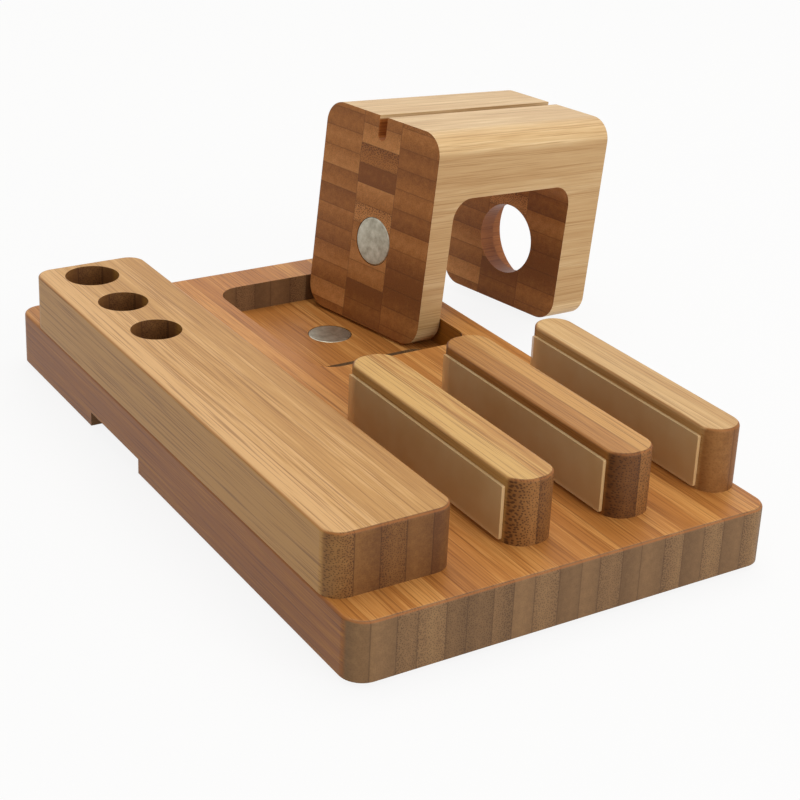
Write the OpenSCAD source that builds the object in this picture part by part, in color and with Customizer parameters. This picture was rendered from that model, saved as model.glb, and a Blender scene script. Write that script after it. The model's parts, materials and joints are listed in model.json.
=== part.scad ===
// Charging station organizer of laminated bamboo.
// A base board carries a pen block, three dividers with soft pads, and a
// pocket with a magnet. A loose U-shaped watch stand leans in the pocket.
// X runs to the right along the front edge, Y towards the back, Z up.
// The origin lies on the table, under the middle of the base board.

/* [Base board] */
// Width of the base, left to right
base_w = 104; // [96:0.5:130]
// Length of the base, front to back
base_l = 174.5; // [168:0.5:220]
// Thickness of the base
base_t = 13.5; // [12:0.5:20]
// Radius of the upright corners of the base
base_corner_r = 5; // [2:0.5:8]
// Radius that eases the top edges of the base
base_edge_r = 0.8; // [0.4:0.1:1.5]

/* [Feet] */
// Diameter of a stick-on foot
foot_d = 8; // [6:0.5:12]
// Thickness of a foot
foot_h = 1.2; // [1:0.1:3]
// Distance of a foot's centre from both edges of the base
foot_inset = 12; // [9:0.5:16]

/* [Pen block] */
// Width of the block
block_w = 28.8; // [24:0.1:34]
// Height of the block above the base
block_h = 14.2; // [10:0.1:30]
// Distance from the front of the base to the front of the block
block_front = 9.6; // [2:0.1:20]
// Distance from the back of the base to the back of the block
block_back = 11.4; // [2:0.1:20]
// Radius of the upright corners of the block
block_corner_r = 4.4; // [1:0.1:8]
// Radius that eases the top edges of the block
block_edge_r = 0.8; // [0.4:0.1:1.5]
// Diameter of the back pen hole
big_hole_d = 13.6; // [9:0.1:15]
// Diameter of the other two pen holes
pen_hole_d = 12.3; // [8:0.1:15]
// Distance from the left side to the middle of the pen holes
pen_hole_side = 12.3; // [9:0.1:16]
// Distance from the back of the block to the middle of the back hole
pen_hole_end = 9.1; // [8.5:0.1:14]
// Spacing of the pen holes
pen_hole_pitch = 19.5; // [17:0.1:30]

/* [Dividers] */
// Clear width of each device slot
slot_w = 14; // [12:0.1:20]
// Thickness of the left and middle dividers
divider_t = 11.6; // [8:0.1:14]
// Length of a divider
divider_l = 68.8; // [50:0.1:80]
// Height of a divider above the base
divider_h = 15.1; // [12:0.1:30]
// Distance from the front of the base to the dividers
divider_front = 9.9; // [4:0.1:20]
// Radius of the upright ends of a divider
divider_end_r = 5; // [2:0.1:5.5]
// Radius that eases the top edges of a divider
divider_edge_r = 0.8; // [0.4:0.1:1.2]

/* [Pads] */
// Thickness of a pad
pad_t = 0.8; // [0.5:0.1:2]
// Height of a pad
pad_h = 12.2; // [8:0.1:13]
// Length of a pad
pad_l = 61.4; // [40:0.1:64]
// Distance from the front of a divider to the front of its pad
pad_front = 3.9; // [3:0.1:6]
// Height of a pad's lower edge above the base
pad_lift = 0.7; // [0.1:0.1:1.2]

/* [Pocket] */
// Width of the wooden rim to the right of the pocket
rim_right = 7.7; // [5:0.1:12]
// Width of the wooden rim behind the pocket
rim_back = 11.3; // [5:0.1:16]
// Depth of the pocket
pocket_depth = 7.5; // [4:0.1:8]
// Radius of the upright corners of the pocket
pocket_corner_r = 6.7; // [3:0.1:8]
// Clearance all round the leg of the stand when it lies in the pocket
pocket_gap = 0.5; // [0.3:0.1:2]
// Diameter of the magnet in the pocket
pocket_magnet_d = 11.6; // [8:0.1:20]
// Thickness of the magnet in the pocket
pocket_magnet_t = 2.5; // [1:0.1:4]

/* [Cable way] */
// Length of the cable slot in the pocket floor, left to right
cable_slot_l = 37.5; // [20:0.5:40]
// Width of the cable slot, front to back
cable_slot_w = 16; // [8:0.5:18]
// Radius of the back corners of the cable slot
cable_slot_r = 6; // [2:0.5:7.5]
// Width of the channel across the underside
channel_w = 28; // [18:0.5:32]
// Depth of the channel from the underside
channel_depth = 3.6; // [2:0.1:4.5]

/* [Watch stand] */
// Width of the stand across both legs
stand_w = 65.1; // [58:0.1:80]
// Depth of the stand, front to back
stand_d = 44.1; // [38:0.1:50]
// Height of the stand
stand_h = 57.6; // [52:0.1:66]
// Radius of the four long corners of the stand
stand_corner_r = 6.1; // [3:0.1:8]
// Thickness of the thin leg, which carries the magnet
thin_leg_t = 7.8; // [6:0.1:10]
// Thickness of the thick leg, which holds the charger
thick_leg_t = 12.5; // [11:0.1:16]
// Thickness of the bridge between the legs
bridge_t = 17.4; // [12:0.1:22]
// Radius of the inner corners of the window
window_corner_r = 6; // [2:0.1:10]
// Width of the cable groove
groove_w = 3; // [2:0.1:4]
// Depth of the cable groove
groove_depth = 6.6; // [3:0.1:8]
// Diameter of the magnet in the stand
stand_magnet_d = 13; // [8:0.1:14]
// Thickness of the magnet in the stand
stand_magnet_t = 3; // [1:0.1:5]
// Height of the magnet above the lower end of the leg
stand_magnet_up = 23.8; // [14:0.1:40]
// Distance of the magnet forward of the middle of the leg
stand_magnet_shift = 1.2; // [0:0.1:3]

/* [Charger seat] */
// Diameter of the seat for the watch charger
seat_d = 28.5; // [26:0.1:31]
// Depth of the seat
seat_depth = 7.6; // [4:0.1:9]
// Diameter of the hole through the rest of the leg
push_hole_d = 19.8; // [10:0.1:24]
// Height of the seat's middle above the lower end of the leg
seat_up = 18.8; // [17:0.1:24]
// Distance of the seat forward of the middle of the leg
seat_shift = 0.7; // [0:0.1:2]

/* [Resting place of the stand] */
// Turn of the stand in the pocket, seen from above, in degrees
stand_turn = 10.7; // [0:0.1:12]
// Lean of the stand to the right, in degrees
stand_lean = 5.8; // [2:0.1:8]
// Gap between the stand and the walls of the pocket that it leans on
lean_gap = 0.3; // [0.1:0.05:1]
// Gap between the stand and the pocket floor
floor_gap = 0.05; // [0.02:0.01:0.3]

/* [Hidden] */

$fn = 64;
// Overlap that lets a cutter run clear of the face it opens
over = 1;
// Gap round a magnet in its recess, filled with glue
glue_gap = 0.05;

bamboo_light = [0.80, 0.62, 0.40];
bamboo_warm = [0.74, 0.53, 0.30];
plated_metal = [0.62, 0.61, 0.57];
frosted = [0.72, 0.62, 0.50, 0.55];
dark_rubber = [0.12, 0.12, 0.12];

// Edges and levels of the base
left = -base_w / 2;
right = base_w / 2;
front = -base_l / 2;
back = base_l / 2;
under = foot_h;
top = under + base_t;

// Pocket: as wide as the stand is deep and as long as the stand is high
pocket_w = stand_d + 2 * pocket_gap;
pocket_l = stand_h + 2 * pocket_gap;
pocket_left = right - rim_right - pocket_w;
pocket_front = back - rim_back - pocket_l;
pocket_floor = top - pocket_depth;
pocket_mid = pocket_left + pocket_w / 2;

// Cable slot: it starts at the front wall of the pocket, over the channel
channel_mid = pocket_front + cable_slot_w / 2;
channel_end = pocket_mid + cable_slot_l / 2;

// Pen holes, from the back one forward
pen_x = left + pen_hole_side;
pen_y0 = back - block_back - pen_hole_end;

// Dividers: equal slots from the block to the right side
divider_x = [
    left + block_w + slot_w,
    left + block_w + 2 * slot_w + divider_t,
    left + block_w + 3 * slot_w + 2 * divider_t
];
divider_ts = [divider_t, divider_t, right - divider_x[2]];

// Resting place: the inner lower edge of the thin leg stands on the floor,
// its front end leans on the right wall and its back end on the back wall
lean_reach = pocket_depth * tan(stand_lean);
stand_edge_x = right - rim_right - lean_gap - lean_reach * cos(stand_turn);
stand_edge_y = back - rim_back - lean_gap - stand_d * cos(stand_turn)
    - lean_reach * sin(stand_turn);

// Plate with upright rounded corners, standing on z = 0, corner at origin
module plate(w, l, h, r) {
    union() {
        translate([r, 0, 0])
            cube([w - 2 * r, l, h]);
        translate([0, r, 0])
            cube([w, l - 2 * r, h]);
        for (x = [r, w - r], y = [r, l - r])
            translate([x, y, 0])
                cylinder(r = r, h = h);
    }
}

// Section of the wood taken off an edge to round it; the edge is at 0, 0
module edge_section(e) {
    difference() {
        translate([-e, -e])
            square(e + over);
        translate([-e, -e])
            circle(r = e);
    }
}

// Straight run of edge rounding along +Y, for an edge that faces +X
module edge_run(e, l) {
    translate([0, l, 0])
        rotate([90, 0, 0])
            linear_extrude(l)
                edge_section(e);
}

// Rounding of all top edges of a plate of this size, top at z = 0
module top_rounding(w, l, r, e) {
    translate([w, r, 0])
        edge_run(e, l - 2 * r);
    translate([0, l - r, 0])
        rotate([0, 0, 180])
            edge_run(e, l - 2 * r);
    translate([w - r, l, 0])
        rotate([0, 0, 90])
            edge_run(e, w - 2 * r);
    translate([r, 0, 0])
        rotate([0, 0, 270])
            edge_run(e, w - 2 * r);
    for (c = [[w - r, l - r, 0], [r, l - r, 90], [r, r, 180], [w - r, r, 270]])
        translate([c[0], c[1], 0])
            rotate([0, 0, c[2]])
                rotate_extrude(angle = 90)
                    translate([r, 0])
                        edge_section(e);
}

// Plate whose top edges are rounded too
module eased_plate(w, l, h, r, e) {
    difference() {
        plate(w, l, h, r);
        translate([0, 0, h])
            top_rounding(w, l, r, e);
    }
}

// Holes drilled right through the block, which the base board closes below
module pen_holes() {
    for (i = [0:2])
        translate([pen_x, pen_y0 - i * pen_hole_pitch, top - over])
            cylinder(d = i == 0 ? big_hole_d : pen_hole_d, h = block_h + 2 * over);
}

// Opening from the pocket floor down into the channel, square at the front
module cable_slot() {
    translate([channel_end - cable_slot_l, pocket_front, under])
        union() {
            plate(cable_slot_l, cable_slot_w, base_t - pocket_depth + over, cable_slot_r);
            cube([cable_slot_l, cable_slot_r, base_t - pocket_depth + over]);
        }
}

// Channel across the underside, open at the left side
module channel() {
    translate([left - over, channel_mid - channel_w / 2, under - over])
        cube([channel_end - left + over, channel_w, channel_depth + over]);
}

module base_board() {
    color(bamboo_warm)
        difference() {
            translate([left, front, under])
                eased_plate(base_w, base_l, base_t, base_corner_r, base_edge_r);
            translate([pocket_left, pocket_front, pocket_floor])
                plate(pocket_w, pocket_l, pocket_depth + over, pocket_corner_r);
            pocket_disc(pocket_magnet_d + 2 * glue_gap, pocket_magnet_t + over);
            cable_slot();
            channel();
        }
}

module pen_block() {
    color(bamboo_light)
        difference() {
            translate([left, front + block_front, top])
                eased_plate(block_w, base_l - block_front - block_back, block_h,
                    block_corner_r, block_edge_r);
            pen_holes();
        }
}

module divider(i) {
    color(bamboo_light)
        translate([divider_x[i], front + divider_front, top])
            eased_plate(divider_ts[i], divider_l, divider_h,
                min(divider_end_r, divider_ts[i] / 2 - 0.1), divider_edge_r);
}

module pad(i) {
    color(frosted)
        translate([divider_x[i] - pad_t, front + divider_front + pad_front, top + pad_lift])
            cube([pad_t, pad_l, pad_h]);
}

// Disc let in flush in the pocket floor, where the magnet of the stand lies
module pocket_disc(d, h) {
    translate([pocket_mid, back - rim_back - pocket_gap - stand_magnet_up,
            pocket_floor - pocket_magnet_t])
        cylinder(d = d, h = h);
}

module pocket_magnet() {
    color(plated_metal)
        pocket_disc(pocket_magnet_d, pocket_magnet_t);
}

// The stand is drawn upright: X across the legs, Y along the depth, Z up,
// with its lower left front corner at the origin
module at_rest() {
    translate([stand_edge_x, stand_edge_y, pocket_floor + floor_gap])
        rotate([0, 0, stand_turn])
            rotate([0, stand_lean, 0])
                translate([-thin_leg_t, 0, 0])
                    children();
}

// Rounded block, before the window is cut
module stand_blank() {
    rotate([90, 0, 90])
        plate(stand_d, stand_h, stand_w, stand_corner_r);
}

// Window between the legs, open below
module stand_window() {
    translate([thin_leg_t, stand_d + over, -window_corner_r - over])
        rotate([90, 0, 0])
            plate(stand_w - thin_leg_t - thick_leg_t,
                stand_h - bridge_t + window_corner_r + over,
                stand_d + 2 * over, window_corner_r);
}

// Groove with a round bottom, along +X, open at z = 0 upwards
module groove(l) {
    translate([0, -groove_w / 2, -groove_depth + groove_w / 2])
        cube([l, groove_w, groove_depth + over]);
    translate([0, 0, -groove_depth + groove_w / 2])
        rotate([0, 90, 0])
            cylinder(d = groove_w, h = l);
}

// Cable groove over the bridge and down the outer face to the seat
module cable_groove() {
    translate([-over, stand_d / 2, stand_h])
        groove(stand_w + 2 * over);
    translate([stand_w, stand_d / 2, stand_h + over])
        rotate([0, 90, 0])
            groove(stand_h + over - seat_up);
}

// Round seat for the charger in the outer face, with a smaller hole behind
module charger_seat() {
    translate([stand_w + over, stand_d / 2 - seat_shift, seat_up])
        rotate([0, -90, 0])
            union() {
                cylinder(d = seat_d, h = seat_depth + over);
                cylinder(d = push_hole_d, h = thick_leg_t + 2 * over);
            }
}

// Disc let in flush in the outer face of the thin leg
module stand_disc(d, h) {
    translate([stand_magnet_t, stand_d / 2 - stand_magnet_shift, stand_magnet_up])
        rotate([0, -90, 0])
            cylinder(d = d, h = h);
}

module watch_stand() {
    color(bamboo_light)
        at_rest()
            difference() {
                stand_blank();
                stand_window();
                cable_groove();
                charger_seat();
                stand_disc(stand_magnet_d + 2 * glue_gap, stand_magnet_t + over);
            }
}

module stand_magnet() {
    color(plated_metal)
        at_rest()
            stand_disc(stand_magnet_d, stand_magnet_t);
}

// Stick-on foot with a narrowed lower rim
module foot(x, y) {
    rim = foot_h / 3;
    color(dark_rubber)
        translate([x, y, 0])
            union() {
                cylinder(d1 = foot_d - 2 * rim, d2 = foot_d, h = rim);
                translate([0, 0, rim])
                    cylinder(d = foot_d, h = foot_h - rim);
            }
}

base_board();
pen_block();
divider(0);  // divider_left
divider(1);  // divider_middle
divider(2);  // divider_right
pad(0);  // pad_left
pad(1);  // pad_middle
pad(2);  // pad_right
pocket_magnet();
watch_stand();
stand_magnet();
foot(left + foot_inset, front + foot_inset);  // foot_front_left
foot(right - foot_inset, front + foot_inset);  // foot_front_right
foot(left + foot_inset, back - foot_inset);  // foot_back_left
foot(right - foot_inset, back - foot_inset);  // foot_back_right
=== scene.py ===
"""Looks of a bamboo charging station organizer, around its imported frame."""
import json
import math
from types import SimpleNamespace
import bmesh
import bpy
from mathutils import Matrix, Vector


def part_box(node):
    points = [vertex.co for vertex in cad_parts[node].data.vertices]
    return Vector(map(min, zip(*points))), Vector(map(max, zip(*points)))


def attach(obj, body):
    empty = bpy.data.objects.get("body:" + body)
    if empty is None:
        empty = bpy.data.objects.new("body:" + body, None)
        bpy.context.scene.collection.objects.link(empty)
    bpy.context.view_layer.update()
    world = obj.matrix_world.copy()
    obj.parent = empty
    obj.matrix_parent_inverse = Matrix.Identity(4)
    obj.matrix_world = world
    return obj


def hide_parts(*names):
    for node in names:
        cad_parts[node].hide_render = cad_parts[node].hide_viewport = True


# Metres in a millimetre
MM = 0.001

# Bodies of the frame
ORGANIZER = "organizer"
STAND = "loose_stand"

# How the stand rests in its pocket: its lower corner in mm, then degrees, as the frame has it
STAND_CORNER = (43.25, 32.18, 7.25)
STAND_TURN = 10.7
STAND_LEAN = 5.8

# Charger seat and cable groove of the stand, in mm from its lower corner; radii just past the cuts
SEAT_ACROSS = 21.35
SEAT_UP = 18.8
SEAT_R = 14.5
GROOVE_ACROSS = 22.05
GROOVE_LOW = 51.0
GROOVE_HIGH = 55.7
GROOVE_R = 1.6

# Magnet discs, in mm
POCKET_MAGNET_R = 5.8
POCKET_MAGNET_T = 2.5
STAND_MAGNET_R = 6.5
STAND_MAGNET_T = 3.0
MAGNET_CHAMFER = 0.35

# Silicone pads, in mm
PAD_CORNER_R = 0.35
PAD_EDGE_R = 0.1

# Thickness in mm of strips that go right through a board in one layer
ONE_LAYER = 60.0
# Solid glue and the end of its fading, in mm from the joint
GLUE_LINE = 0.02
GLUE_FADE = 0.22
# Half the distance in mm between two joints of a culm, and how far their rings wander
HALF_CULM = 210.0
RING_WANDER = 9.0

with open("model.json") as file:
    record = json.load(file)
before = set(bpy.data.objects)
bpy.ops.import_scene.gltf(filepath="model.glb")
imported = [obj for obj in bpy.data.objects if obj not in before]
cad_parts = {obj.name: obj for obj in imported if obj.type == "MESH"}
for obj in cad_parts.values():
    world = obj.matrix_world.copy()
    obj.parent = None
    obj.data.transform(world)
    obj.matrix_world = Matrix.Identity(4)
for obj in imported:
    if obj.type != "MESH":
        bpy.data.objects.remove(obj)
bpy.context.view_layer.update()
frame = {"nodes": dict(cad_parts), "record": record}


def srgb(code):
    """Turns an sRGB hex colour into the linear colour that nodes take."""
    parts = [int(code[i:i + 2], 16) / 255 for i in (1, 3, 5)]
    linear = [c / 12.92 if c <= 0.04045 else ((c + 0.055) / 1.055) ** 2.4 for c in parts]
    return (*linear, 1.0)


def add(tree, kind, inputs=None, stops=(), **settings):
    """Adds a node with its settings, its inputs as values or links, and a ramp's stops."""
    made = tree.nodes.new(kind)
    for name, value in settings.items():
        setattr(made, name, value)
    for key, value in (inputs or {}).items():
        if isinstance(value, bpy.types.NodeSocket):
            tree.links.new(value, made.inputs[key])
        else:
            made.inputs[key].default_value = value
    if stops:
        points = made.color_ramp.elements
        for _ in stops[2:]:
            points.new(0.5)
        for point, (at, colour) in zip(points, stops):
            point.position = at
            point.color = colour
    return made


def new_material(name):
    """An empty material with its shader linked to the output."""
    made = bpy.data.materials.new(name)
    made.use_nodes = True
    tree = made.node_tree
    tree.nodes.clear()
    shader = add(tree, "ShaderNodeBsdfPrincipled")
    add(tree, "ShaderNodeOutputMaterial", {"Surface": shader.outputs[0]})
    return made, tree, shader


def wood_space(tree, origin, turned):
    """Place in mm from a piece's own corner, and the way a face looks, both in its own axes."""
    rotation = (0, *(math.radians(angle) for angle in turned))
    place = add(tree, "ShaderNodeTexCoord")
    moved = add(tree, "ShaderNodeVectorMath", {
        0: place.outputs["Object"], 1: tuple(o * MM for o in origin),
    }, operation="SUBTRACT")
    straight = add(tree, "ShaderNodeVectorRotate", {
        "Vector": moved.outputs[0], "Rotation": rotation,
    }, rotation_type="EULER_XYZ", invert=True)
    in_mm = add(tree, "ShaderNodeVectorMath", {
        0: straight.outputs[0], "Scale": 1 / MM,
    }, operation="SCALE")
    face = add(tree, "ShaderNodeVectorRotate", {
        "Vector": place.outputs["Normal"], "Rotation": rotation,
    }, rotation_type="EULER_XYZ", invert=True)
    spot = add(tree, "ShaderNodeSeparateXYZ", {0: in_mm.outputs[0]})
    facing = add(tree, "ShaderNodeSeparateXYZ", {0: face.outputs[0]})
    return spot.outputs, facing.outputs


def glued_strips(tree, spot, order, strips, seed):
    """The strips a board is glued from: each one's own chances, its glue lines and its space.

    Their width varies a little, so the lines aren't evenly spaced.
    """
    width, thickness, jitter = strips
    across, layer, along = (spot[axis] for axis in order)
    wander = add(tree, "ShaderNodeTexNoise", {
        "W": across, "Scale": 0.11, "Detail": 0.0,
    }, noise_dimensions="1D")
    wandered = add(tree, "ShaderNodeMath", {
        0: wander.outputs[0], 1: 2 * jitter, 2: across,
    }, operation="MULTIPLY_ADD")
    column_at = add(tree, "ShaderNodeMath", {0: wandered.outputs[0], 1: width}, operation="DIVIDE")
    column = add(tree, "ShaderNodeMath", {0: column_at.outputs[0]}, operation="FLOOR")
    within_column = add(tree, "ShaderNodeMath", {0: column_at.outputs[0]}, operation="FRACT")

    # Rows of layers are staggered from column to column
    column_seed = add(tree, "ShaderNodeMath", {0: column.outputs[0], 1: seed}, operation="ADD")
    stagger = add(tree, "ShaderNodeTexWhiteNoise", {
        "W": column_seed.outputs[0],
    }, noise_dimensions="1D")
    row_at = add(tree, "ShaderNodeMath", {
        0: layer, 1: 1 / thickness, 2: 0.3 if thickness == ONE_LAYER else stagger.outputs["Value"],
    }, operation="MULTIPLY_ADD")
    row = add(tree, "ShaderNodeMath", {0: row_at.outputs[0]}, operation="FLOOR")
    within_row = add(tree, "ShaderNodeMath", {0: row_at.outputs[0]}, operation="FRACT")
    cell = add(tree, "ShaderNodeCombineXYZ", {0: column.outputs[0], 1: row.outputs[0], 2: seed})
    chances = add(tree, "ShaderNodeTexWhiteNoise", {
        "Vector": cell.outputs[0],
    }, noise_dimensions="3D")
    own = add(tree, "ShaderNodeSeparateXYZ", {0: chances.outputs["Color"]})

    glued = []
    for within, size in ((within_column, width), (within_row, thickness)):
        rest = add(tree, "ShaderNodeMath", {0: 1.0, 1: within.outputs[0]}, operation="SUBTRACT")
        nearest = add(tree, "ShaderNodeMath", {
            0: within.outputs[0], 1: rest.outputs[0],
        }, operation="MINIMUM")
        line = add(tree, "ShaderNodeMapRange", {
            0: nearest.outputs[0], 1: GLUE_LINE / size, 2: GLUE_FADE / size, 3: 1.0, 4: 0.0,
        }, interpolation_type="SMOOTHSTEP")
        glued.append(line.outputs[0])
    glue = add(tree, "ShaderNodeMath", {0: glued[0], 1: glued[1]}, operation="MAXIMUM")

    # Every strip has its own fibres, so the pattern is shifted from cell to cell
    shift = add(tree, "ShaderNodeVectorMath", {
        0: chances.outputs["Color"], 1: (170.0, 230.0, 410.0),
    }, operation="MULTIPLY")
    straight = add(tree, "ShaderNodeCombineXYZ", {0: across, 1: layer, 2: along})
    shifted = add(tree, "ShaderNodeVectorMath", {
        0: straight.outputs[0], 1: shift.outputs[0],
    }, operation="ADD")
    skin_to_core = within_column if width < thickness else within_row
    return SimpleNamespace(
        across=across, layer=layer, along=along, own=own.outputs, glue=glue.outputs[0],
        through=skin_to_core.outputs[0], space=shifted.outputs[0])


def fibres(tree, strip, wide, long, detail, warp=0.0):
    """Noise drawn out along the grain of a strip; sizes in millimetres."""
    drawn = add(tree, "ShaderNodeVectorMath", {
        0: strip.space, 1: (1 / wide, 1 / wide, 1 / long),
    }, operation="MULTIPLY")
    noise = add(tree, "ShaderNodeTexNoise", {
        "Vector": drawn.outputs[0], "Scale": 1.0, "Detail": detail,
        "Roughness": 0.6, "Distortion": warp,
    })
    return noise.outputs[0]


def culm_rings(tree, strip, broad, knuckles):
    """Speckled rings of the culm's joints, a few mm wide, on a share of the strips."""
    start = add(tree, "ShaderNodeMath", {
        0: strip.own[0], 1: HALF_CULM, 2: strip.along,
    }, operation="MULTIPLY_ADD")
    waved = add(tree, "ShaderNodeMath", {
        0: broad, 1: RING_WANDER, 2: start.outputs[0],
    }, operation="MULTIPLY_ADD")
    away = add(tree, "ShaderNodeMath", {0: waved.outputs[0], 1: HALF_CULM}, operation="PINGPONG")
    near = add(tree, "ShaderNodeMapRange", {
        0: away.outputs[0], 1: 0.6, 2: 3.6, 3: 1.0, 4: 0.0,
    }, interpolation_type="SMOOTHSTEP")
    has_ring = add(tree, "ShaderNodeMath", {0: strip.own[1], 1: knuckles}, operation="LESS_THAN")
    ring = add(tree, "ShaderNodeMath", {
        0: near.outputs[0], 1: has_ring.outputs[0],
    }, operation="MULTIPLY")
    speckle = add(tree, "ShaderNodeMapRange", {
        0: fibres(tree, strip, 0.7, 1.1, 2.0), 1: 0.42, 2: 0.6,
    }, interpolation_type="SMOOTHSTEP")
    marks = add(tree, "ShaderNodeMath", {
        0: ring.outputs[0], 1: speckle.outputs[0],
    }, operation="MULTIPLY")
    return marks.outputs[0]


def long_grain(tree, strip, fine, tones, contrast, knuckles):
    """Colour of a face along the grain: the strip's tone, its fibres, glue lines and rings."""
    light, middle, dark, darkest = (srgb(tone) for tone in tones)
    middling = fibres(tree, strip, 1.5, 45.0, 2.0)
    broad = fibres(tree, strip, 4.5, 60.0, 1.0, 0.4)
    tone = add(tree, "ShaderNodeMath", {0: strip.own[2], 1: 0.38 * contrast}, operation="MULTIPLY")
    for part, weight in ((fine, 0.62), (middling, 0.46), (broad, 0.3)):
        tone = add(tree, "ShaderNodeMath", {
            0: part, 1: weight, 2: tone.outputs[0],
        }, operation="MULTIPLY_ADD")
    wood = add(tree, "ShaderNodeValToRGB", {
        "Fac": tone.outputs[0],
    }, ((0.5, dark), (0.84, middle), (1.0, light))).outputs[0]

    dark_fibres = add(tree, "ShaderNodeMapRange", {
        0: fibres(tree, strip, 0.34, 34.0, 2.0), 1: 0.5, 2: 0.68, 4: 0.66,
    }, interpolation_type="SMOOTHSTEP")
    glue = add(tree, "ShaderNodeMath", {0: strip.glue, 1: 0.4}, operation="MULTIPLY")
    rings = add(tree, "ShaderNodeMath", {
        0: culm_rings(tree, strip, broad, knuckles), 1: 0.6,
    }, operation="MULTIPLY")
    for mark in (dark_fibres, glue, rings):
        wood = add(tree, "ShaderNodeMix", {
            0: mark.outputs[0], 6: wood, 7: darkest,
        }, data_type="RGBA").outputs[2]
    return wood


def end_grain(tree, strip, tones, contrast, glue_share, dotted, dot_pitch):
    """Colour of a face across the grain, and its dots.

    The vessels are dark dots, larger on the skin side of a strip and strong
    on a share of the strips only.
    """
    light, middle, dark, darkest = (srgb(tone) for tone in tones)
    flat = add(tree, "ShaderNodeVectorMath", {
        0: strip.space, 1: (1 / dot_pitch, 1 / dot_pitch, 0.0),
    }, operation="MULTIPLY")
    vessels = add(tree, "ShaderNodeTexVoronoi", {
        "Vector": flat.outputs[0], "Scale": 1.0, "Randomness": 0.85,
    }, voronoi_dimensions="2D")
    from_core = add(tree, "ShaderNodeMath", {0: strip.through, 1: strip.own[0]}, operation="SUBTRACT")
    skin = add(tree, "ShaderNodeMath", {0: from_core.outputs[0]}, operation="ABSOLUTE")
    dot_r = add(tree, "ShaderNodeMapRange", {
        0: skin.outputs[0], 1: 0.0, 2: 0.9, 3: 0.2, 4: 0.36,
    }, interpolation_type="SMOOTHSTEP")
    past_edge = add(tree, "ShaderNodeMath", {
        0: vessels.outputs["Distance"], 1: dot_r.outputs[0],
    }, operation="SUBTRACT")
    dot = add(tree, "ShaderNodeMapRange", {
        0: past_edge.outputs[0], 1: -0.08, 2: 0.12, 3: 1.0, 4: 0.0,
    }, interpolation_type="SMOOTHSTEP")
    strong = add(tree, "ShaderNodeMath", {0: strip.own[1], 1: 1 - dotted}, operation="GREATER_THAN")
    strength = add(tree, "ShaderNodeMath", {
        0: strong.outputs[0], 1: 0.55, 2: 0.2,
    }, operation="MULTIPLY_ADD")
    dots = add(tree, "ShaderNodeMath", {
        0: dot.outputs[0], 1: strength.outputs[0],
    }, operation="MULTIPLY")

    cloud = add(tree, "ShaderNodeTexNoise", {
        "Vector": flat.outputs[0], "Scale": 0.3, "Detail": 6.0, "Roughness": 0.72,
    })
    own_tone = add(tree, "ShaderNodeMath", {
        0: strip.own[2], 1: contrast, 2: 0.25 - 0.5 * contrast,
    }, operation="MULTIPLY_ADD")
    clouded = add(tree, "ShaderNodeMath", {
        0: cloud.outputs[0], 1: 0.6, 2: own_tone.outputs[0],
    }, operation="MULTIPLY_ADD")
    tone = add(tree, "ShaderNodeMath", {
        0: skin.outputs[0], 1: -0.22, 2: clouded.outputs[0],
    }, operation="MULTIPLY_ADD")
    wood = add(tree, "ShaderNodeValToRGB", {
        "Fac": tone.outputs[0],
    }, ((0.25, dark), (0.56, middle), (0.9, light))).outputs[0]
    glue = add(tree, "ShaderNodeMath", {0: strip.glue, 1: glue_share}, operation="MULTIPLY")
    for mark in (dots, glue):
        wood = add(tree, "ShaderNodeMix", {
            0: mark.outputs[0], 6: wood, 7: darkest,
        }, data_type="RGBA").outputs[2]
    return wood, dots.outputs[0]


def shade_hollows(tree, strip, wood, hollows):
    """Painted shade: darker, browner colour inside the hollows that are cut along the grain.

    Each is a place across the strips, a lower and an upper place through
    them, and a radius.
    """
    for middle, low, high, radius in hollows:
        aside = add(tree, "ShaderNodeMath", {0: strip.across, 1: middle}, operation="SUBTRACT")
        level = add(tree, "ShaderNodeClamp", {"Value": strip.layer, "Min": low, "Max": high})
        above = add(tree, "ShaderNodeMath", {
            0: strip.layer, 1: level.outputs[0],
        }, operation="SUBTRACT")
        offset = add(tree, "ShaderNodeCombineXYZ", {0: aside.outputs[0], 1: above.outputs[0]})
        reach = add(tree, "ShaderNodeVectorMath", {0: offset.outputs[0]}, operation="LENGTH")
        shaded_inside = add(tree, "ShaderNodeMapRange", {
            0: reach.outputs["Value"], 1: radius, 2: radius + 0.3, 3: 1.0, 4: 0.0,
        }, interpolation_type="SMOOTHSTEP")
        # Painted shade: the wood is multiplied darker and browner inside each hollow
        wood = add(tree, "ShaderNodeMix", {
            0: shaded_inside.outputs[0], 6: wood, 7: srgb("#c99468"),
        }, data_type="RGBA", blend_type="MULTIPLY").outputs[2]
    return wood


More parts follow.
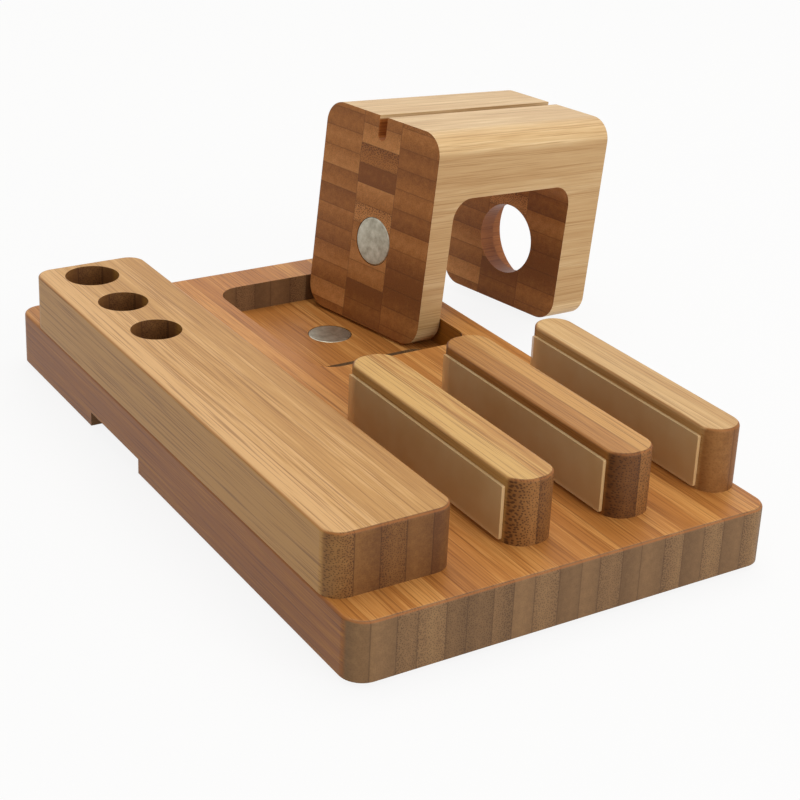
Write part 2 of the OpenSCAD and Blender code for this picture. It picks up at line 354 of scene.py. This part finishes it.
def bamboo(name, origin, order, strips, tones, end_tones, seed,
           turned=(0.0, 0.0), knuckles=0.25, burnish=0.0, contrast=1.0, side_tint_and_shade=0.0,
           dotted=0.4, dot_pitch=0.7, end_contrast=0.5, end_glue=0.6, hollows=()):
    """Bamboo, split into strips, planed, glued up and clear lacquered.

    The eye sees fine fibres along the strips, a change of tone from strip to
    strip with thin glue lines, a dotted end grain, and here and there the
    ring of a culm's joint. origin is a corner of the piece in millimetres,
    order names its axes across the strips, through them and along the grain,
    and strips is (width, thickness, jitter) in millimetres.
    """
    made, tree, shader = new_material(name)
    spot, facing = wood_space(tree, origin, turned)
    strip = glued_strips(tree, spot, order, strips, seed)
    fine = fibres(tree, strip, 0.42, 14.0, 3.0)

    # Faces that look across the strips get a yellower tint of their own, and they are also made
    # darker, which is painted shade for the shaded side faces
    sideways = add(tree, "ShaderNodeMath", {0: facing[order[0]]}, operation="ABSOLUTE")
    side = add(tree, "ShaderNodeMapRange", {
        0: sideways.outputs[0], 1: 0.6, 2: 0.9, 4: side_tint_and_shade,
    }, interpolation_type="SMOOTHSTEP")
    tint_and_shade = add(tree, "ShaderNodeMix", {
        0: side.outputs[0], 6: long_grain(tree, strip, fine, tones, contrast, knuckles),
        7: srgb("#c4b05c"),
    }, data_type="RGBA", blend_type="MULTIPLY")
    wood = shade_hollows(tree, strip, tint_and_shade.outputs[2], hollows)

    # The end grain shows where the face is square to the grain
    end_wood, dots = end_grain(
        tree, strip, end_tones, end_contrast, end_glue, dotted, dot_pitch)
    endways = add(tree, "ShaderNodeMath", {0: facing[order[2]]}, operation="ABSOLUTE")
    end = add(tree, "ShaderNodeMapRange", {
        0: endways.outputs[0], 1: 0.12, 2: 0.4,
    }, interpolation_type="SMOOTHSTEP").outputs[0]
    wood = add(tree, "ShaderNodeMix", {0: end, 6: wood, 7: end_wood}, data_type="RGBA")

    # Sanded top edges take more lacquer and look darker and redder
    upward = add(tree, "ShaderNodeMath", {0: facing["Z"]}, operation="ABSOLUTE")
    off_side = add(tree, "ShaderNodeMapRange", {
        0: upward.outputs[0], 1: 0.3, 2: 0.6,
    }, interpolation_type="SMOOTHSTEP")
    off_top = add(tree, "ShaderNodeMapRange", {
        0: upward.outputs[0], 1: 0.75, 2: 0.97, 3: burnish, 4: 0.0,
    }, interpolation_type="SMOOTHSTEP")
    eased = add(tree, "ShaderNodeMath", {
        0: off_side.outputs[0], 1: off_top.outputs[0],
    }, operation="MULTIPLY")
    wood = add(tree, "ShaderNodeMix", {
        0: eased.outputs[0], 6: wood.outputs[2], 7: srgb("#a5622a"),
    }, data_type="RGBA")
    tree.links.new(wood.outputs[2], shader.inputs["Base Color"])

    # Satin lacquer fills most of the pores, so the relief is slight
    dulled = add(tree, "ShaderNodeMath", {0: end, 1: 0.14, 2: 0.36}, operation="MULTIPLY_ADD")
    satin = add(tree, "ShaderNodeMath", {
        0: fine, 1: 0.12, 2: dulled.outputs[0],
    }, operation="MULTIPLY_ADD")
    tree.links.new(satin.outputs[0], shader.inputs["Roughness"])
    pores = add(tree, "ShaderNodeMath", {0: dots, 1: end}, operation="MULTIPLY")
    pitted = add(tree, "ShaderNodeMath", {
        0: pores.outputs[0], 1: -1.0, 2: fine,
    }, operation="MULTIPLY_ADD")
    height = add(tree, "ShaderNodeMath", {
        0: strip.glue, 1: -0.5, 2: pitted.outputs[0],
    }, operation="MULTIPLY_ADD")
    bump = add(tree, "ShaderNodeBump", {
        "Height": height.outputs[0], "Strength": 0.35, "Distance": 0.08 * MM,
    })
    tree.links.new(bump.outputs[0], shader.inputs["Normal"])
    shader.inputs["IOR"].default_value = 1.48
    shader.inputs["Specular IOR Level"].default_value = 0.28
    return made


def frosted_silicone():
    """Moulded clear silicone: a frosted skin that pales the wood behind it."""
    made, tree, shader = new_material("frosted_silicone_moulded")
    place = add(tree, "ShaderNodeTexCoord")
    haze = add(tree, "ShaderNodeTexNoise", {
        "Vector": place.outputs["Object"], "Scale": 90.0, "Detail": 3.0,
    })
    cloudy = add(tree, "ShaderNodeValToRGB", {
        "Fac": haze.outputs[0],
    }, ((0.3, srgb("#f0c88c")), (0.7, srgb("#fad9a2"))))
    # Dust specks about 0.6 mm across
    specks = add(tree, "ShaderNodeTexVoronoi", {
        "Vector": place.outputs["Object"], "Scale": 260.0, "Randomness": 1.0,
    })
    chance = add(tree, "ShaderNodeSeparateXYZ", {0: specks.outputs["Color"]})
    few = add(tree, "ShaderNodeMath", {0: chance.outputs[0], 1: 0.985}, operation="GREATER_THAN")
    small = add(tree, "ShaderNodeMapRange", {
        0: specks.outputs["Distance"], 1: 0.05, 2: 0.12, 3: 1.0, 4: 0.0,
    }, interpolation_type="SMOOTHSTEP")
    dust = add(tree, "ShaderNodeMath", {0: few.outputs[0], 1: small.outputs[0]}, operation="MULTIPLY")
    colour = add(tree, "ShaderNodeMix", {
        0: dust.outputs[0], 6: cloudy.outputs[0], 7: srgb("#f4efe6"),
    }, data_type="RGBA")
    tree.links.new(colour.outputs[2], shader.inputs["Base Color"])
    shader.inputs["Alpha"].default_value = 0.55
    shader.inputs["Roughness"].default_value = 0.55
    shader.inputs["IOR"].default_value = 1.41
    relief = add(tree, "ShaderNodeTexNoise", {
        "Vector": place.outputs["Object"], "Scale": 900.0, "Detail": 2.0,
    })
    bump = add(tree, "ShaderNodeBump", {
        "Height": relief.outputs[0], "Strength": 0.25, "Distance": 0.05 * MM,
    })
    tree.links.new(bump.outputs[0], shader.inputs["Normal"])
    return made


def nickel_plating():
    """Dull nickel plating on a pressed magnet: soft blotches and fine rubs."""
    made, tree, shader = new_material("nickel_plating_dull")
    place = add(tree, "ShaderNodeTexCoord")
    blotch = add(tree, "ShaderNodeTexNoise", {
        "Vector": place.outputs["Object"], "Scale": 420.0, "Detail": 4.0, "Roughness": 0.65,
    })
    colour = add(tree, "ShaderNodeValToRGB", {
        "Fac": blotch.outputs[0],
    }, ((0.3, srgb("#959080")), (0.52, srgb("#b3af9e")), (0.75, srgb("#cbc8ba"))))
    tree.links.new(colour.outputs[0], shader.inputs["Base Color"])
    shader.inputs["Metallic"].default_value = 1.0
    rubs = add(tree, "ShaderNodeTexNoise", {
        "Vector": place.outputs["Object"], "Scale": 1500.0, "Detail": 2.0,
    })
    dull = add(tree, "ShaderNodeMath", {0: rubs.outputs[0], 1: 0.2, 2: 0.3}, operation="MULTIPLY_ADD")
    tree.links.new(dull.outputs[0], shader.inputs["Roughness"])
    bump = add(tree, "ShaderNodeBump", {
        "Height": blotch.outputs[0], "Strength": 0.2, "Distance": 0.05 * MM,
    })
    tree.links.new(bump.outputs[0], shader.inputs["Normal"])
    return made


def foot_rubber():
    """Moulded black rubber, matt with a fine tooth."""
    made, tree, shader = new_material("rubber_moulded_black")
    place = add(tree, "ShaderNodeTexCoord")
    tooth = add(tree, "ShaderNodeTexNoise", {
        "Vector": place.outputs["Object"], "Scale": 2200.0, "Detail": 2.0,
    })
    colour = add(tree, "ShaderNodeValToRGB", {
        "Fac": tooth.outputs[0],
    }, ((0.3, srgb("#161616")), (0.7, srgb("#262524"))))
    tree.links.new(colour.outputs[0], shader.inputs["Base Color"])
    shader.inputs["Roughness"].default_value = 0.75
    bump = add(tree, "ShaderNodeBump", {
        "Height": tooth.outputs[0], "Strength": 0.3, "Distance": 0.05 * MM,
    })
    tree.links.new(bump.outputs[0], shader.inputs["Normal"])
    return made


def dress(node, made):
    """Gives a CAD node its finish."""
    mesh = frame["nodes"][node].data
    mesh.materials.clear()
    mesh.materials.append(made)


def corner(node):
    """Lowest corner of a node, in millimetres."""
    return tuple(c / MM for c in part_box(node)[0])


def finish_piece(shape, name, made, body, node):
    """Makes an object of a bmesh and ties it to the frame."""
    mesh = bpy.data.meshes.new(name)
    bmesh.ops.recalc_face_normals(shape, faces=shape.faces)
    shape.to_mesh(mesh)
    shape.free()
    mesh.materials.append(made)
    piece = bpy.data.objects.new(name, mesh)
    bpy.context.scene.collection.objects.link(piece)
    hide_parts(node)
    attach(piece, body)


def soft_pad(name, node, made):
    """Pad with eased edges and its corners rounded in side view."""
    low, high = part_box(node)
    size = high - low
    shape = bmesh.new()
    bmesh.ops.create_cube(shape, size=1.0)
    for point in shape.verts:
        for axis in range(3):
            point.co[axis] = low[axis] + (point.co[axis] + 0.5) * size[axis]
    thin = [e for e in shape.edges if abs((e.verts[0].co - e.verts[1].co).x) > size.x / 2]
    bmesh.ops.bevel(
        shape, geom=thin, offset=PAD_CORNER_R * MM, segments=5, affect="EDGES", profile=0.5)
    rims = [e for e in shape.edges if abs((e.verts[0].co - e.verts[1].co).x) < size.x / 2]
    bmesh.ops.bevel(
        shape, geom=rims, offset=PAD_EDGE_R * MM, segments=2, affect="EDGES", profile=0.5)
    finish_piece(shape, name, made, ORGANIZER, node)


def magnet_disc(name, node, axis, radius, thickness, made, body):
    """Pressed disc with a small rounded chamfer round its visible face; sizes in mm."""
    low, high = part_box(node)
    facing = Vector((0, 0, 1)).rotation_difference(Vector(axis)).to_matrix().to_4x4()
    at = Matrix.Translation((low + high) / 2) @ facing
    top = thickness / 2
    profile = (
        (radius, -top),
        (radius, top - MAGNET_CHAMFER),
        (radius - 0.3 * MAGNET_CHAMFER, top - 0.3 * MAGNET_CHAMFER),
        (radius - MAGNET_CHAMFER, top),
    )
    around = 96
    shape = bmesh.new()
    rings = []
    for reach, level in profile:
        ring = []
        for step in range(around):
            turn = 2 * math.pi * step / around
            spot = Vector((reach * math.cos(turn), reach * math.sin(turn), level)) * MM
            ring.append(shape.verts.new(at @ spot))
        rings.append(ring)
    for lower, upper in zip(rings, rings[1:]):
        for step in range(around):
            after = (step + 1) % around
            shape.faces.new((lower[step], lower[after], upper[after], upper[step]))
    shape.faces.new(list(reversed(rings[0])))
    shape.faces.new(rings[-1])
    finish_piece(shape, name, made, body, node)


def finish_board_and_block():
    """Upright strips that run from front to back; the pen block's are paler."""
    dress("base_board", bamboo(
        "bamboo_board_lacquered", corner("base_board"), "XZY", (5.4, ONE_LAYER, 1.2),
        ("#d0934f", "#ba7a3a", "#a06329", "#7b4415"),
        ("#9c7950", "#846341", "#6d5033", "#543b25"), seed=3.0,
        knuckles=0.22, burnish=0.6, contrast=0.75, side_tint_and_shade=0.85,
        dotted=0.45, dot_pitch=0.5, end_contrast=0.3))
    dress("pen_block", bamboo(
        "bamboo_block_lacquered", corner("pen_block"), "XZY", (5.9, ONE_LAYER, 0.5),
        ("#d7a86e", "#c59456", "#ad7a3f", "#8a5926"),
        ("#a07440", "#82582e", "#643d1e", "#482a13"), seed=8.0,
        knuckles=0.3, burnish=0.5, side_tint_and_shade=0.65,
        dotted=0.5, dot_pitch=0.5, end_contrast=0.3))


def finish_dividers():
    """Two strips glued side by side, of another tone for each divider, and its pad."""
    silicone = frosted_silicone()
    for side, seed, tones, end_tones in (
        ("left", 21.0, ("#d4a865", "#c08c4e", "#a6713b", "#825022"),
         ("#9e6c38", "#835528", "#663c18", "#42250e")),
        ("middle", 36.0, ("#ca9655", "#b67e41", "#9c672f", "#7a4a1d"),
         ("#986634", "#7c4f26", "#5f3816", "#40240e")),
        ("right", 12.0, ("#e2bc85", "#d1a870", "#bd8e56", "#996c3a"),
         ("#bd8a50", "#a2703c", "#805226", "#563217")),
    ):
        node = "divider_" + side
        dress(node, bamboo(
            "bamboo_divider_" + side + "_lacquered", corner(node), "XZY", (5.8, ONE_LAYER, 0.0),
            tones, end_tones, seed, knuckles=0.3, burnish=0.35, side_tint_and_shade=0.2,
            dotted=0.8, dot_pitch=0.62))
        soft_pad("soft_pad_" + side, "pad_" + side, silicone)


def finish_stand():
    """Strips staggered like bricks on the end grain, with painted shade in the seat and the groove.
    """
    dress("watch_stand", bamboo(
        "bamboo_stand_lacquered", STAND_CORNER, "YZX", (14.7, 5.4, 0.0),
        ("#e7c99a", "#d9b684", "#c39b68", "#a37846"),
        ("#d8985a", "#b2743a", "#8a5325", "#563113"), seed=5.0,
        turned=(STAND_LEAN, STAND_TURN), knuckles=0.08, contrast=0.5,
        dotted=0.14, dot_pitch=0.55, end_contrast=0.6, end_glue=0.4,
        hollows=(
            (SEAT_ACROSS, SEAT_UP, SEAT_UP, SEAT_R),
            (GROOVE_ACROSS, GROOVE_LOW, GROOVE_HIGH, GROOVE_R),
        )))


def finish_magnets():
    """One disc faces up in the pocket, the other away from the charger seat."""
    plating = nickel_plating()
    mounts = {mount["name"]: mount for mount in frame["record"]["mounts"]}
    away_from_seat = [-part for part in mounts["charger_seat"]["axis"]]
    magnet_disc("pocket_magnet_disc", "pocket_magnet", (0, 0, 1),
                POCKET_MAGNET_R, POCKET_MAGNET_T, plating, ORGANIZER)
    magnet_disc("stand_magnet_disc", "stand_magnet", away_from_seat,
                STAND_MAGNET_R, STAND_MAGNET_T, plating, STAND)


def finish_feet():
    """Four stick-on rubber feet."""
    rubber = foot_rubber()
    for end in ("front", "back"):
        for side in ("left", "right"):
            dress("foot_" + end + "_" + side, rubber)


def make_floor():
    """Pale floor, white to the camera but for the shadow of the object."""
    bpy.ops.mesh.primitive_plane_add(size=8.0, location=(0, 0, 0))
    floor = bpy.context.object
    floor.name = "floor"
    made = bpy.data.materials.new("pale_floor")
    made.use_nodes = True
    tree = made.node_tree
    tree.nodes.clear()
    matt = add(tree, "ShaderNodeBsdfDiffuse", {"Color": srgb("#e6e4e0")})
    glow = add(tree, "ShaderNodeEmission", {"Color": (1, 1, 1, 1), "Strength": 1.0})
    paths = add(tree, "ShaderNodeLightPath")
    seen = add(tree, "ShaderNodeMath", {
        0: paths.outputs["Is Camera Ray"], 1: paths.outputs["Is Glossy Ray"],
    }, operation="MAXIMUM")
    seen_through = add(tree, "ShaderNodeMath", {
        0: seen.outputs[0], 1: paths.outputs["Is Transmission Ray"],
    }, operation="MAXIMUM")
    share = add(tree, "ShaderNodeMath", {0: seen_through.outputs[0], 1: 0.88}, operation="MULTIPLY")
    mixed = add(tree, "ShaderNodeMixShader", {
        0: share.outputs[0], 1: matt.outputs[0], 2: glow.outputs[0],
    })
    add(tree, "ShaderNodeOutputMaterial", {"Surface": mixed.outputs[0]})
    floor.data.materials.append(made)


def make_world():
    """White to the camera and in reflections, plain soft light otherwise."""
    world = bpy.data.worlds.new("studio")
    world.use_nodes = True
    bpy.context.scene.world = world
    tree = world.node_tree
    tree.nodes.clear()
    paths = add(tree, "ShaderNodeLightPath")
    seen = add(tree, "ShaderNodeMath", {
        0: paths.outputs["Is Camera Ray"], 1: paths.outputs["Is Transmission Ray"],
    }, operation="MAXIMUM")
    mirrored = add(tree, "ShaderNodeMath", {
        0: seen.outputs[0], 1: paths.outputs["Is Glossy Ray"],
    }, operation="MAXIMUM")
    strength = add(tree, "ShaderNodeMapRange", {
        "Value": mirrored.outputs[0], "To Min": 0.48, "To Max": 1.0,
    })
    glow = add(tree, "ShaderNodeBackground", {
        "Color": (1, 1, 1, 1), "Strength": strength.outputs[0],
    })
    add(tree, "ShaderNodeOutputWorld", {"Surface": glow.outputs[0]})


def soft_box(name, place, size, watts):
    """Square soft box that looks at the middle of the object; metres."""
    lamp = bpy.data.lights.new(name, "AREA")
    lamp.shape = "SQUARE"
    lamp.size = size
    lamp.energy = watts
    box = bpy.data.objects.new(name, lamp)
    box.location = place
    look = Vector((0, 0, 0.02)) - Vector(place)
    box.rotation_euler = look.to_track_quat("-Z", "Y").to_euler()
    bpy.context.scene.collection.objects.link(box)


def make_camera():
    """Camera at the photo's viewpoint, solved from the object's edges; mm, radians and pixels."""
    picture = 800
    focal_px = 1794.8
    middle_px = (381.7, 317.2)
    place = Vector((-201.56, -331.99, 195.57)) * MM
    heading, tilt, roll = -0.558, -0.391, 0.042
    forward = Vector((
        -math.sin(heading) * math.cos(tilt), math.cos(heading) * math.cos(tilt), math.sin(tilt)))
    level = Vector((math.cos(heading), math.sin(heading), 0))
    above = level.cross(forward)
    right = math.cos(roll) * level + math.sin(roll) * above
    up = -math.sin(roll) * level + math.cos(roll) * above
    lens = bpy.data.cameras.new("camera")
    lens.sensor_width = 36.0
    lens.lens = focal_px / picture * lens.sensor_width
    lens.shift_x = (picture / 2 - middle_px[0]) / picture
    lens.shift_y = (middle_px[1] - picture / 2) / picture
    lens.clip_start = 0.01
    camera = bpy.data.objects.new("camera", lens)
    turned = Matrix((right, up, -forward)).transposed().to_4x4()
    camera.matrix_world = Matrix.Translation(place) @ turned
    bpy.context.scene.collection.objects.link(camera)
    bpy.context.scene.camera = camera


make_camera()
finish_board_and_block()
finish_dividers()
finish_stand()
finish_magnets()
finish_feet()
make_floor()
make_world()
soft_box("key", (0.25, 0.2, 1.25), size=1.1, watts=8.5)
soft_box("fill", (0.45, -1.2, 0.55), size=0.9, watts=8.0)
bpy.context.scene.view_settings.view_transform = "Standard"
